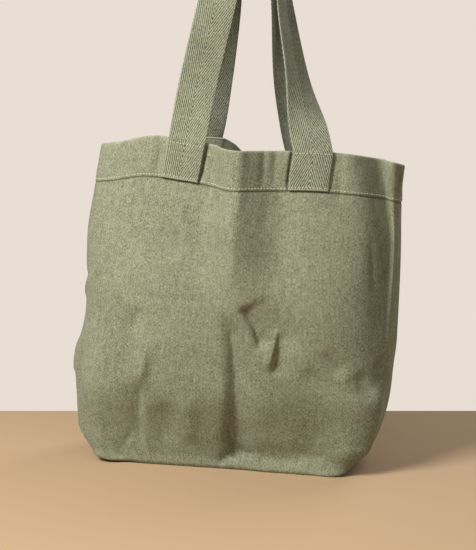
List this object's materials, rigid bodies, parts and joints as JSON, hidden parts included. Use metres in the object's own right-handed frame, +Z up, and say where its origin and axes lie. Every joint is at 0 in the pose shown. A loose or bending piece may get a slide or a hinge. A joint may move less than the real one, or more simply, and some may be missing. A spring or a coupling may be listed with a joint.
{
  "type": "linen tote bag",
  "caption": "Open tote bag of heavy linen on a boxed base, with a folded hem and two long herringbone webbing handles drawn together overhead.",
  "frame": {"origin": "middle of the bag's box on the surface that it stands on", "axes": "+Z up, +Y towards the back panel, +X to the right seen from the front"},
  "size_m": [0.3691, 0.1621, 0.631],
  "materials": {
    "linen": "washed olive-grey linen, matt",
    "webbing": "herringbone webbing, matt"
  },
  "bodies": {
    "root": {"front_panel": "linen", "back_panel": "linen", "handle_front": "webbing", "handle_back": "webbing"}
  },
  "joints": []
}
